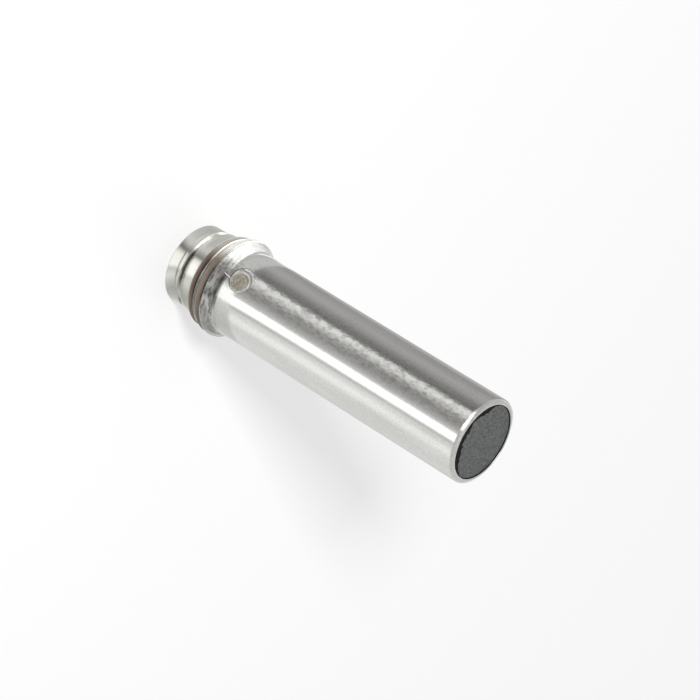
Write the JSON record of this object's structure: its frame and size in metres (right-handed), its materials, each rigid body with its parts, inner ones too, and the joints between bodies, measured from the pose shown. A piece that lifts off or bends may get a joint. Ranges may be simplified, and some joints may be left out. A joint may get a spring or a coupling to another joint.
{
  "type": "inductive proximity sensor",
  "caption": "Smooth steel barrel proximity sensor with a flange, side light window, dark sensing face and grooved snap plug.",
  "frame": {"origin": "centre of the plug rim that it stands on, on the barrel's axis", "axes": "+Z along the barrel from the plug to the sensing face; the status light window looks along -Y"},
  "size_m": [0.0094, 0.0094, 0.0342],
  "materials": {
    "tube_steel": "satin ground stainless steel",
    "shell_steel": "turned stainless steel",
    "seal_rubber": "smooth moulded brown rubber",
    "face_plastic": "fine-grained charcoal moulding",
    "window_resin": "clear resin over a brown inside",
    "carrier_plastic": "black moulding",
    "pin_gold": "gold-plated brass",
    "solder": "tin solder",
    "board_laminate": "green lacquered laminate",
    "package_epoxy": "black moulded epoxy",
    "capacitor_ceramic": "fired ceramic",
    "resistor_ceramic": "glazed resistor",
    "led_lens": "yellow lens",
    "shield_brass": "thin brass strip",
    "core_ferrite": "ground ferrite",
    "former_plastic": "natural moulding",
    "winding_copper": "enamelled copper wire",
    "potting_resin": "cast resin"
  },
  "bodies": {
    "root": {"barrel_tube": "tube_steel", "connector_shell": "shell_steel", "plug_seal_ring": "seal_rubber", "tube_seal_ring": "seal_rubber", "sensing_face_cap": "face_plastic", "led_window": "window_resin", "contact_carrier": "carrier_plastic", "contact_pin_1": "pin_gold", "contact_pin_3": "pin_gold", "contact_pin_4": "pin_gold", "solder_joint_1": "solder", "solder_joint_3": "solder", "solder_joint_4": "solder", "circuit_board": "board_laminate", "oscillator_chip": "package_epoxy", "output_transistor": "package_epoxy", "protection_diode": "package_epoxy", "supply_capacitor": "capacitor_ceramic", "tuning_capacitor": "capacitor_ceramic", "trim_resistor": "resistor_ceramic", "resistor_1": "resistor_ceramic", "resistor_2": "resistor_ceramic", "resistor_3": "resistor_ceramic", "status_led": "led_lens", "shield_ring": "shield_brass", "ferrite_core": "core_ferrite", "coil_former": "former_plastic", "coil_winding": "winding_copper", "coil_lead_1": "winding_copper", "coil_lead_2": "winding_copper", "board_holder": "former_plastic", "potting_resin": "potting_resin"}
  },
  "joints": []
}
